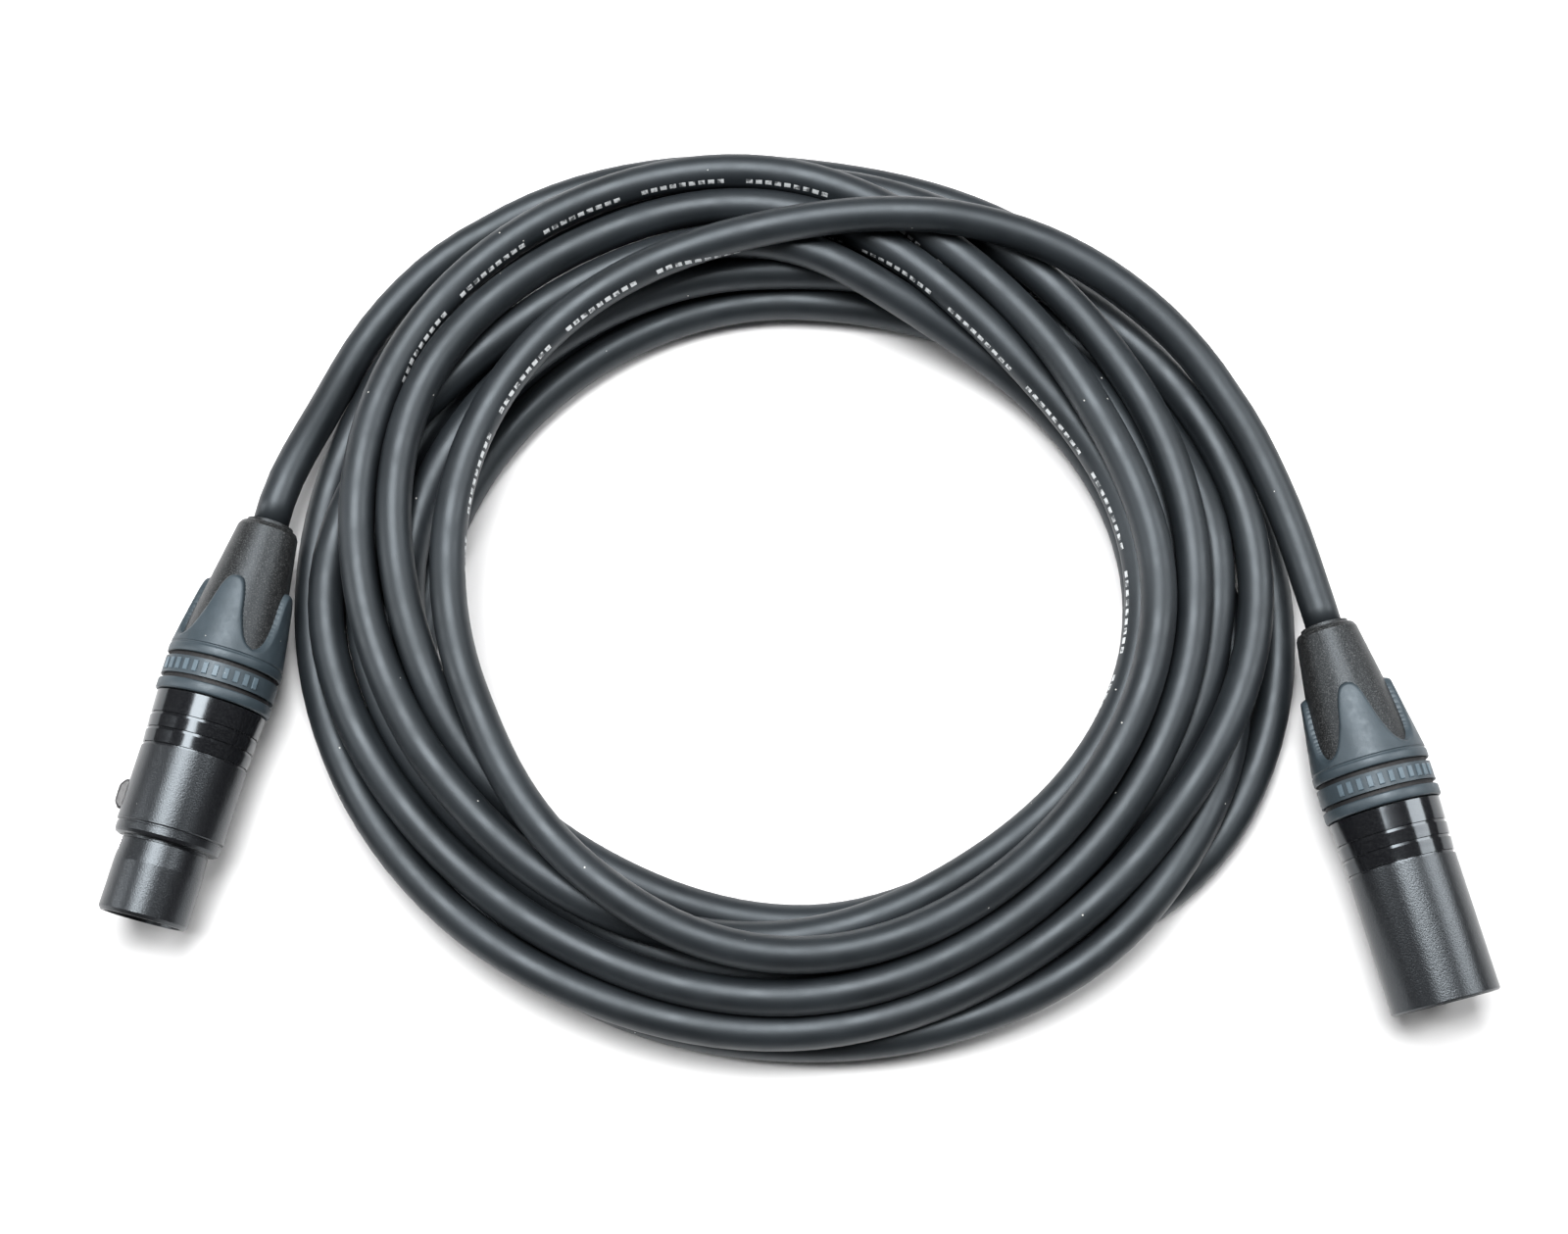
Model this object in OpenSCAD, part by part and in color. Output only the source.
// A coiled microphone cable with a female XLR connector on one end and a male one on the other.
// It lies on the plane z = 0, with +Z up and the centre of its box above the origin. Units are mm.
// Each connector is modelled standing up: its axis is local +Z, and height 0 is its boot's back end.

/* [Cable] */
// Outside diameter of the cable's jacket
cable_d = 6.5; // [6.3:0.1:6.6]
// Radius of the coil's half rings, at the middle of the bundle
coil_r = 70; // [66:1:71]
// Length of the straight stretch between the half rings, which makes the coil slightly oval
coil_stretch = 14; // [8:1:14]
// Distance from the innermost turn to the outermost, both at their middles
coil_spread = 22; // [16:1:23]
// Where the coil's centre lies along X
coil_x = -0.6; // [-2:0.1:2]

/* [Boot and coding ring] */
// Length of the screw-on boot, from the cable exit to its front edge
boot_len = 34.2; // [34:0.1:34.3]
// Outside diameter of the boot's back end
boot_back_d = 10.8; // [10.4:0.1:11.2]
// Outside diameter of the collar at the boot's front
collar_d = 20.6; // [20.4:0.1:21]
// Thickness of the soft grip over the hard boot
grip_t = 1; // [0.8:0.1:1.1]
// Width of the coding ring's band
ring_w = 3.2; // [2.4:0.1:3.6]

/* [Shells] */
// Outside diameter of both shells
shell_d = 19; // [18.8:0.1:19.2]
// Length of the female shell, without its nose
female_shell_len = 26; // [25.8:0.1:26.2]
// Outside diameter of the female nose, which plugs into a male shell
nose_d = 15.7; // [15.5:0.1:15.8]
// Length of the female nose
nose_len = 13.5; // [13.2:0.1:13.8]
// Length of the male shell
male_shell_len = 34.5; // [34:0.1:35]
// Inside diameter of the male shell's mouth
mouth_d = 16.3; // [16.2:0.1:16.5]

/* [Contacts] */
// Diameter of the circle that the contacts stand on
contact_circle_d = 9.5; // [9.3:0.1:9.7]
// Diameter of a male pin
pin_d = 2.4; // [2.3:0.05:2.4]
// Inside diameter of a female socket
socket_d = 2.44; // [2.42:0.01:2.5]

/* [Layout] */
// Angle by which each connector points away from straight forward
heading = 14; // [12:1:16]
// Where the female boot's back end lies along X
female_x = -96.4; // [-97:0.1:-96.4]
// Where the female boot's back end lies along Y
female_y = 10.3; // [8:0.1:11]
// Where the male boot's back end lies along X
male_x = 96; // [96:0.1:97]
// Where the male boot's back end lies along Y
male_y = -8.9; // [-10:0.1:-8]

/* [Hidden] */
$fn = 72;

// Gaps: between parts that stay put, between parts that slide or turn, and between bodies
snug = 0.05;
running = 0.1;
clear = 0.3;

cable_r = cable_d / 2;
layer_rise = cable_d * cos(30);
collar_r = collar_d / 2;
axis_z = collar_r + 0.2;

// Heights along a connector's axis
shell_back = boot_len + clear;
female_shoulder = shell_back + female_shell_len;
female_tip = female_shoulder + nose_len;
male_tip = shell_back + male_shell_len;
boot_cavity_back = 22;
spigot_tip = 41.5;
chuck_back = 23.5;
chuck_tip = 47.8;
jacket_tip = 38;
insert_back = 48;
cup_back = 43.6;
male_insert_tip = 54;
male_pin_tip = 66.5;
socket_tip = female_tip - 2.5;
socket_depth = 12.5;
female_insert_tip = female_tip - 0.8;
female_step = female_shoulder - 1.3;
nose_draft_tip = female_shoulder + 4.3;
band_back = female_shoulder - 2.4;

// Radii round a connector's axis
boot_bore_r = cable_r + clear;
boot_slope = 0.15;
cavity_r = 6.9;
spigot_r = 8.25;
thread_r = spigot_r + running;
seat_r = 8.2;
insert_r = seat_r - running;
nose_bore_r = 6.75;
nose_insert_r = nose_bore_r - running;
lip_r = nose_d / 2 + snug;
nose_draft_r = nose_d / 2 - 0.25;
band_r = shell_d / 2 - 0.2;
contact_r = 1.6;
cup_r = 1.5;
shank_r = pin_d / 2 + 0.25;
cup_bore_r = 1;
cup_depth = 3;

// The boot's collar: a base ring, a groove for the coding ring, and a front ring
collar_back = 25.5;
groove_back = 27.3;
groove_tip = 32.2;
collar_core_r = boot_back_d / 2 + boot_slope * collar_back;
groove_r = collar_core_r + snug + 0.3;
ring_inner_r = groove_r + running;
ring_outer_r = collar_r - 0.1;
ring_mid = (groove_back + groove_tip) / 2;
petal_back = 10;
valley_tip = 22.8;
valley_r = 1.6;

// The latch lies on the local -Y side of the female connector
lever_y = -5.8;
lever_t = 1.2;
lever_w = 3;
pivot_h = 49.6;
pivot_pin_r = 0.6;
hook_back = 61.2;
hook_tip = 63.5;
hook_w = 2.6;
hook_reach = nose_d / 2 + 0.85;
button_back = 50.9;
button_tip = 56.4;
button_w = 4.4;
button_reach = shell_d / 2 + 1.3;
channel_floor = 3.2;

// Contact positions in a connector, numbers 1 to 3. The male connector mirrors the female.
contact_c = contact_circle_d / 2;
CONTACTS = [[-contact_c, 0], [contact_c, 0], [0, contact_c]];

// Route of the cable's free stretches, from each boot's back end to the coil
back_dir = [sin(heading), cos(heading), 0];
female_back = [female_x, female_y, axis_z];
male_back = [male_x, male_y, axis_z];
mirrored_back_dir = [-sin(heading), cos(heading), 0];
straight_run = 8;
FEMALE_ROUTE = [
    female_back,
    female_back + straight_run * back_dir,
    [-91.4, 26.7, 9],
    [-87.7, 36.2, 6.4],
    [-82.9, 47.7, 4.2],
    [-76.2, 58, 3.4],
    [-66.7, 67.5, 3.3],
    [-55.4, 74.5, 3.3],
    [-42.3, 78.2, 3.3],
    [-29.8, 79.6, 3.3],
    [-17.5, 79.4, 3.3],
    [-8, 78.4, 3.3]
];
MALE_ROUTE = [
    male_back,
    male_back + straight_run * mirrored_back_dir,
    [91.8, 7.5, 10.6],
    [88.2, 18, 11.2],
    [83.6, 28.5, 12],
    [78, 37.6, 12.9],
    [71, 46.6, 14],
    [62.4, 55.4, 15.2],
    [51.6, 62.4, 16],
    [40, 66.8, 15.8],
    [30, 69, 14]
];

CABLE_COLOUR = [0.06, 0.065, 0.07];
SHELL_COLOUR = [0.10, 0.10, 0.11];
BOOT_COLOUR = [0.07, 0.07, 0.075];
GRIP_COLOUR = [0.20, 0.25, 0.29];
INSERT_COLOUR = [0.05, 0.05, 0.05];
CHUCK_COLOUR = [0.85, 0.84, 0.80];
GOLD_COLOUR = [0.83, 0.68, 0.36];
STEEL_COLOUR = [0.70, 0.70, 0.72];

// ---- helpers ----

function unit(v) = v / norm(v);

function tangent(p, i) = unit(p[min(i + 1, len(p) - 1)] - p[max(i - 1, 0)]);

// A point between b and c on a smooth curve through a, b, c and d
function blend(a, b, c, d, t) =
    0.5 * (2 * b + (c - a) * t + (2 * a - 5 * b + 4 * c - d) * t * t
        + (3 * b - a - 3 * c + d) * t * t * t);

// The route with steps points for each of its stretches
function smooth(p, steps) = [
    for (i = [0 : len(p) - 2])
        for (k = [0 : steps - 1])
            let (before = p[max(i - 1, 0)], after = p[min(i + 2, len(p) - 1)])
                blend(before, p[i], p[i + 1], after, k / steps),
    p[len(p) - 1]
];

// A round tube along points, whose tangents are never parallel to side
module tube(points, d, sides, side) {
    rings = [
        for (i = [0 : len(points) - 1])
            let (t = tangent(points, i), u = unit(cross(side, t)), v = cross(t, u))
                for (k = [0 : sides - 1])
                    points[i] + d / 2 * (cos(360 * k / sides) * u + sin(360 * k / sides) * v)
    ];
    last = (len(points) - 1) * sides;
    walls = [
        for (i = [0 : len(points) - 2])
            for (k = [0 : sides - 1])
                let (a = i * sides + k, b = i * sides + (k + 1) % sides)
                    [a, a + sides, b + sides, b]
    ];
    back_cap = [for (k = [0 : sides - 1]) k];
    front_cap = [for (k = [sides - 1 : -1 : 0]) last + k];
    polyhedron(points = rings, faces = concat([back_cap], walls, [front_cap]), convexity = 6);
}

// Lays a standing connector down with its boot's back end at its place in the layout
module place_female() {
    translate(female_back) rotate([0, 0, -90 - heading]) rotate([0, 90, 0]) children();
}

module place_male() {
    translate(male_back) rotate([0, 0, -90 + heading]) rotate([0, 90, 0]) children();
}

// A tube round the local axis, from height a to height b
module pipe(outer_r, inner_r, a, b) {
    translate([0, 0, a]) difference() {
        cylinder(r = outer_r, h = b - a);
        translate([0, 0, -1]) cylinder(r = inner_r, h = b - a + 2);
    }
}

// ---- cable ----

// The bundle of turns, cut across: a wide lower row with narrower rows lying in its hollows
module coil_section() {
    rises = 2;
    low = coil_spread / 2;
    high = low - rises * cable_r;
    top = cable_r + rises * layer_rise;
    nx = cable_r * cos(30);
    nz = cable_r * sin(30);
    polygon([
        [-low, 0], [low, 0],
        [low + nx, cable_r + nz], [high + nx, top + nz],
        [high, top + cable_r], [-high, top + cable_r],
        [-high - nx, top + nz], [-low - nx, cable_r + nz]
    ]);
    for (side = [-1, 1]) {
        translate([side * low, cable_r]) circle(cable_r);
        translate([side * high, top]) circle(cable_r);
    }
}

module cable_coil() {
    color(CABLE_COLOUR) translate([coil_x, 0, 0]) {
        for (side = [-1, 1]) {
            translate([side * coil_stretch / 2, 0, 0]) rotate([0, 0, -90 * side])
                rotate_extrude(angle = 180) translate([coil_r, 0]) coil_section();
            translate([-coil_stretch / 2, side * coil_r, 0]) rotate([90, 0, 90])
                linear_extrude(coil_stretch) coil_section();
        }
    }
}

module cable_tail_female() {
    color(CABLE_COLOUR) tube(smooth(FEMALE_ROUTE, 2), cable_d, 12, [0, 0, 1]);
}

module cable_tail_male() {
    color(CABLE_COLOUR) tube(smooth(MALE_ROUTE, 2), cable_d, 12, [0, 0, 1]);
}

// The jacketed end that runs through the boot and is gripped by the chuck
module cable_end() {
    color(CABLE_COLOUR) cylinder(r = cable_r, h = jacket_tip);
}

// ---- wires inside a connector ----

wire_gap = 0.3;
wire_back = jacket_tip + wire_gap;
wire_tip = cup_back - wire_gap;
wire_rise = wire_tip - wire_back;

// One wire from its place in the cable to its contact's solder cup
module wire(from, to, d) {
    points = [
        for (k = [0 : 6])
            let (t = k / 6, share = (1 - cos(180 * t)) / 2, at = from + share * (to - from))
                [at[0], at[1], wire_back + t * wire_rise]
    ];
    tube(points, d, 8, [0.31, 0.95, 0]);
}

conductor_d = 1.4;
drain_d = 1;
WHITE_STARTS = [[1.2, -1.25], [1.6, 0.3]];
BLUE_STARTS = [[0.2, 1.7], [-1.4, 1.3]];
DRAIN_START = [-1.9, -0.7];
pair_half = 0.75;

// The male connector swaps X and Y
function seat(p, male) = male ? [p[1], p[0]] : p;

module white_pair(male) {
    color([0.9, 0.9, 0.88])
        for (k = [0, 1])
            wire(seat(WHITE_STARTS[k], male),
                seat(CONTACTS[1] + [0, pair_half * (2 * k - 1)], male), conductor_d);
}

module blue_pair(male) {
    color([0.12, 0.28, 0.65])
        for (k = [0, 1])
            wire(seat(BLUE_STARTS[k], male),
                seat(CONTACTS[2] + [pair_half * (1 - 2 * k), 0], male), conductor_d);
}

module drain_wire(male) {
    color([0.75, 0.45, 0.28]) wire(seat(DRAIN_START, male), seat(CONTACTS[0], male), drain_d);
}

// ---- boot, grip, coding ring and chuck, the same on both connectors ----

function core_r(h) = boot_back_d / 2 + boot_slope * h;

// The hard boot: a tapered sleeve with a lip at the cable exit and a spigot that screws into the shell
module boot_core() {
    color(BOOT_COLOUR) rotate_extrude() polygon([
        [boot_bore_r, -0.6], [boot_bore_r + 0.7, -0.6], [boot_bore_r + 0.8, 0],
        [core_r(0) - 0.8, 0], [core_r(0) - 0.25, 0.25], [core_r(1), 1],
        [core_r(collar_back), collar_back], [collar_core_r, boot_len],
        [spigot_r, boot_len], [spigot_r, spigot_tip - 0.4], [spigot_r - 0.4, spigot_tip],
        [cavity_r, spigot_tip], [cavity_r, boot_cavity_back], [boot_bore_r, boot_cavity_back]
    ]);
}

// One U-shaped valley between two petals, as wide as the gap between their tips at the back
module valley() {
    back = petal_back - 1;
    mouth_half = 5.2;
    rotate([90, 0, 0]) linear_extrude(collar_r + 2) {
        translate([0, valley_tip - valley_r]) circle(valley_r);
        polygon([
            [-mouth_half, back], [mouth_half, back],
            [valley_r, valley_tip - valley_r], [-valley_r, valley_tip - valley_r]
        ]);
    }
}

// The soft sleeve over the boot: four petals at the back, the collar with its groove in front
module boot_grip() {
    inner = snug;
    color(GRIP_COLOUR) difference() {
        rotate_extrude() polygon([
            [core_r(petal_back) + inner, petal_back],
            [core_r(petal_back) + grip_t - 0.3, petal_back],
            [core_r(petal_back + 0.6) + grip_t, petal_back + 0.6],
            [collar_r - 0.1, collar_back - 0.2], [collar_r - 0.25, collar_back],
            [collar_r, collar_back + 0.2],
            [collar_r, groove_back], [groove_r, groove_back],
            [groove_r, groove_tip], [collar_r, groove_tip],
            [collar_r, boot_len - 0.4], [collar_r - 0.4, boot_len],
            [collar_core_r + inner, boot_len], [collar_core_r + inner, collar_back]
        ]);
        for (k = [0 : 3]) rotate([0, 0, 45 + 90 * k]) valley();
    }
}

// A C-shaped band that clips into the collar's groove
module coding_ring() {
    gap_w = 1.6;
    color(GRIP_COLOUR) difference() {
        pipe(ring_outer_r, ring_inner_r, ring_mid - ring_w / 2, ring_mid + ring_w / 2);
        translate([0, -gap_w / 2, ring_mid - ring_w]) cube([collar_r + 1, gap_w, 2 * ring_w]);
    }
}

// The split sleeve that grips the cable's jacket, with a cup that presses on the insert
module chuck() {
    slit_w = 0.8;
    slit_h = 9;
    color(CHUCK_COLOUR) difference() {
        rotate_extrude() polygon([
            [cable_r + snug, chuck_back], [5.3, chuck_back], [6.5, chuck_back + 6],
            [6.5, spigot_tip + clear], [seat_r - 0.2, spigot_tip + clear + 0.4],
            [seat_r - 0.2, chuck_tip], [seat_r - 1.2, chuck_tip], [seat_r - 1.2, spigot_tip + 1.6],
            [5.6, spigot_tip], [5.6, jacket_tip + 0.4], [cable_r + snug, jacket_tip + 0.4]
        ]);
        for (turn = [0, 90])
            rotate([0, 0, turn]) translate([-10, -slit_w / 2, chuck_back - 1])
                cube([20, slit_w, slit_h + 1]);
    }
}

// ---- shells ----

groove_half = 0.3;
groove_t = 0.25;
STEP_HEIGHTS = [4.3, 7, 9.8];
STEP_RISE = [0.35, 0.22, 0.12];

// The outline of the stepped stretch in front of the boot: three tapers, each ending in a groove
STEPS = [
    for (k = [0 : 2])
        let (from = shell_back + (k == 0 ? 0 : STEP_HEIGHTS[k - 1] + groove_half),
            to = shell_back + STEP_HEIGHTS[k] - groove_half,
            r = shell_d / 2 + STEP_RISE[k])
        each [[r, from], [r - 0.15, to], [r - 0.15 - groove_t, to + 0.1],
            [r - 0.15 - groove_t, to + 2 * groove_half]]
];

// A die-cast shell: bored for the boot's spigot and for the insert, with a band in front of its body,
// and a nose that is drafted where it leaves the band
module female_shell_body() {
    rotate_extrude() polygon(concat(
        [[thread_r, shell_back]],
        STEPS,
        [
            [shell_d / 2, shell_back + STEP_HEIGHTS[2] + groove_half],
            [shell_d / 2, band_back - 0.15], [shell_d / 2 - 0.15, band_back],
            [band_r - 0.2, band_back + 0.05], [band_r - 0.2, band_back + 0.3],
            [band_r, band_back + 0.4], [band_r, female_shoulder - 0.8],
            [band_r - 0.25, female_shoulder - 0.25], [band_r - 0.8, female_shoulder],
            [nose_draft_r - 0.1, female_shoulder], [nose_draft_r - 0.1, female_shoulder + 0.4],
            [nose_draft_r, female_shoulder + 0.5], [nose_d / 2, nose_draft_tip],
            [nose_d / 2, female_tip - 0.6], [nose_d / 2 - 0.5, female_tip],
            [nose_bore_r, female_tip], [nose_bore_r, female_step],
            [seat_r, female_step], [seat_r, spigot_tip], [thread_r, spigot_tip]
        ]
    ));
}

module female_shell() {
    side = clear;
    color(SHELL_COLOUR) place_female() difference() {
        female_shell_body();
        translate([-button_w / 2 - side, -shell_d, button_back - 0.6])
            cube([button_w + 2 * side, shell_d - nose_bore_r, button_tip - button_back + 1.8]);
        translate([-hook_w / 2 - side, -shell_d, hook_back - side])
            cube([hook_w + 2 * side, shell_d - 5, hook_tip - hook_back + 4 * side]);
    }
}

module male_shell() {
    notch_w = 3.4;
    notch_back = male_tip - 3;
    color(SHELL_COLOUR) place_male() difference() {
        rotate_extrude() polygon(concat(
            [[thread_r, shell_back]],
            STEPS,
            [
                [shell_d / 2, shell_back + STEP_HEIGHTS[2] + groove_half],
                [shell_d / 2, male_tip - 0.3], [shell_d / 2 - 0.3, male_tip],
                [mouth_d / 2 + 0.3, male_tip], [mouth_d / 2, male_tip - 0.3],
                [mouth_d / 2, male_insert_tip + 0.8], [lip_r, male_insert_tip + 0.8],
                [lip_r, male_insert_tip + snug], [seat_r, male_insert_tip + snug],
                [seat_r, spigot_tip], [thread_r, spigot_tip]
            ]
        ));
        // The pocket inside the mouth that a latch hook springs into
        translate([-mouth_d / 2 - 0.8, -notch_w / 2, notch_back]) cube([2, notch_w, 1.8]);
    }
}

// ---- inserts and contacts ----

module contact_holes(hole_r, male, a, b) {
    for (spot = CONTACTS)
        translate(concat(seat(spot, male), a)) cylinder(r = hole_r, h = b - a);
}

module female_insert() {
    channel_w = lever_w + 2 * clear;
    color(INSERT_COLOUR) place_female() difference() {
        rotate_extrude() polygon([
            [0, insert_back], [insert_r, insert_back], [insert_r, female_step - running],
            [nose_insert_r, female_step - running], [nose_insert_r, female_insert_tip],
            [0, female_insert_tip]
        ]);
        contact_holes(contact_r + snug, false, insert_back - 1, socket_tip + snug);
        contact_holes(pin_d / 2 + 0.25, false, socket_tip - 1, female_insert_tip + 1);
        // The channel for the latch lever, its wide part for the button, and the pivot pin's holes
        translate([-channel_w / 2, -insert_r - 1, insert_back - 1])
            cube([channel_w, insert_r + 1 - channel_floor, hook_tip + 1.5 - insert_back + 1]);
        translate([-button_w / 2 - clear, -insert_r - 1, button_back - 0.4])
            cube([button_w + 2 * clear, insert_r + 1 + lever_y + 0.6, button_tip - button_back + 1.4]);
        translate([-4, lever_y, pivot_h]) rotate([0, 90, 0])
            cylinder(r = pivot_pin_r + snug, h = 8);
    }
}

module male_insert() {
    color(INSERT_COLOUR) place_male() difference() {
        translate([0, 0, insert_back]) cylinder(r = insert_r, h = male_insert_tip - insert_back);
        contact_holes(shank_r + snug, true, insert_back - 1, male_insert_tip + 1);
    }
}

// A socket contact with a solder cup at the back
module socket_contact(spot) {
    color(GOLD_COLOUR) place_female() translate([spot[0], spot[1], cup_back]) difference() {
        union() {
            cylinder(r = cup_r, h = insert_back - cup_back);
            translate([0, 0, insert_back - cup_back])
                cylinder(r = contact_r, h = socket_tip - insert_back);
        }
        translate([0, 0, -1]) cylinder(r = cup_bore_r, h = cup_depth + 1);
        translate([0, 0, socket_tip - socket_depth - cup_back])
            cylinder(r = socket_d / 2, h = socket_depth + 1);
    }
}

// A pin contact with a solder cup at the back and a rounded point
module pin_contact(spot) {
    r = pin_d / 2;
    color(GOLD_COLOUR) place_male() translate([spot[1], spot[0], 0]) rotate_extrude() polygon([
        [cup_bore_r, cup_back], [cup_r, cup_back], [cup_r, insert_back - snug],
        [shank_r, insert_back - snug], [shank_r, male_insert_tip + 0.1], [r, male_insert_tip + 0.2],
        [r, male_pin_tip - 1.2], [r - 0.25, male_pin_tip - 0.5],
        [r - 0.7, male_pin_tip], [0, male_pin_tip],
        [0, cup_back + cup_depth], [cup_bore_r, cup_back + cup_depth]
    ]);
}

// ---- latch ----

module latch_lever() {
    back = pivot_h - 1.1;
    difference() {
        union() {
            translate([-lever_w / 2, lever_y - lever_t / 2, back])
                cube([lever_w, lever_t, hook_tip - back]);
            translate([-lever_w / 2, lever_y, pivot_h]) rotate([0, 90, 0]) cylinder(r = 1.1, h = lever_w);
            // The hook, with a slanted front face that rides over a shell's rim
            translate([-hook_w / 2, 0, 0]) rotate([90, 0, 90]) linear_extrude(hook_w) polygon([
                [lever_y, hook_back], [-hook_reach, hook_back], [-hook_reach, hook_back + 0.9],
                [-hook_reach + 1.2, hook_tip], [lever_y, hook_tip]
            ]);
        }
        translate([-lever_w, lever_y, pivot_h]) rotate([0, 90, 0])
            cylinder(r = pivot_pin_r + running, h = 2 * lever_w);
    }
}

module female_latch_lever() {
    color(STEEL_COLOUR) place_female() latch_lever();
}

// The button stands on the lever's outer face and comes out through the shell
module female_push_button() {
    foot = lever_y - lever_t / 2 - snug;
    color(BOOT_COLOUR) place_female() translate([-button_w / 2, 0, 0]) rotate([90, 0, 90])
        linear_extrude(button_w) polygon([
            [foot, button_back], [-button_reach + 0.9, button_back],
            [-button_reach, button_back + 1.2], [-button_reach, button_tip - 1.2],
            [-button_reach + 0.9, button_tip], [foot, button_tip]
        ]);
}

module female_latch_pin() {
    color(STEEL_COLOUR) place_female() translate([-3.8, lever_y, pivot_h]) rotate([0, 90, 0])
        cylinder(r = pivot_pin_r, h = 7.6);
}

// A leaf under the lever, held by the lever's back end and clear of the channel's floor when pressed
module female_latch_spring() {
    leaf_t = 0.3;
    leaf_w = 2.2;
    top = lever_y + lever_t / 2 + snug;
    color(STEEL_COLOUR) place_female() translate([-leaf_w / 2, 0, 0]) rotate([90, 0, 90])
        linear_extrude(leaf_w) polygon([
            [top, pivot_h + 1.4], [top + leaf_t, pivot_h + 1.4],
            [top + leaf_t, 56.6], [top + 0.5, 59], [top + 0.5 - leaf_t, 59], [top, 57]
        ]);
}

// ---- the assembly ----

module female_cable_end() { place_female() cable_end(); }
module female_contact_1() { socket_contact(CONTACTS[0]); }
module female_contact_2() { socket_contact(CONTACTS[1]); }
module female_contact_3() { socket_contact(CONTACTS[2]); }
module female_chuck() { place_female() chuck(); }
module female_boot_core() { place_female() boot_core(); }
module female_boot_grip() { place_female() boot_grip(); }
module female_coding_ring() { place_female() coding_ring(); }
module female_white_pair() { place_female() white_pair(false); }
module female_blue_pair() { place_female() blue_pair(false); }
module female_drain_wire() { place_female() drain_wire(false); }
module male_cable_end() { place_male() cable_end(); }
module male_pin_1() { pin_contact(CONTACTS[0]); }
module male_pin_2() { pin_contact(CONTACTS[1]); }
module male_pin_3() { pin_contact(CONTACTS[2]); }
module male_chuck() { place_male() chuck(); }
module male_boot_core() { place_male() boot_core(); }
module male_boot_grip() { place_male() boot_grip(); }
module male_coding_ring() { place_male() coding_ring(); }
module male_white_pair() { place_male() white_pair(true); }
module male_blue_pair() { place_male() blue_pair(true); }
module male_drain_wire() { place_male() drain_wire(true); }

cable_coil();
cable_tail_female();
cable_tail_male();
female_cable_end();
female_shell();
female_insert();
female_contact_1();
female_contact_2();
female_contact_3();
female_latch_lever();
female_push_button();
female_latch_pin();
female_latch_spring();
female_chuck();
female_boot_core();
female_boot_grip();
female_coding_ring();
female_white_pair();
female_blue_pair();
female_drain_wire();
male_cable_end();
male_shell();
male_insert();
male_pin_1();
male_pin_2();
male_pin_3();
male_chuck();
male_boot_core();
male_boot_grip();
male_coding_ring();
male_white_pair();
male_blue_pair();
male_drain_wire();
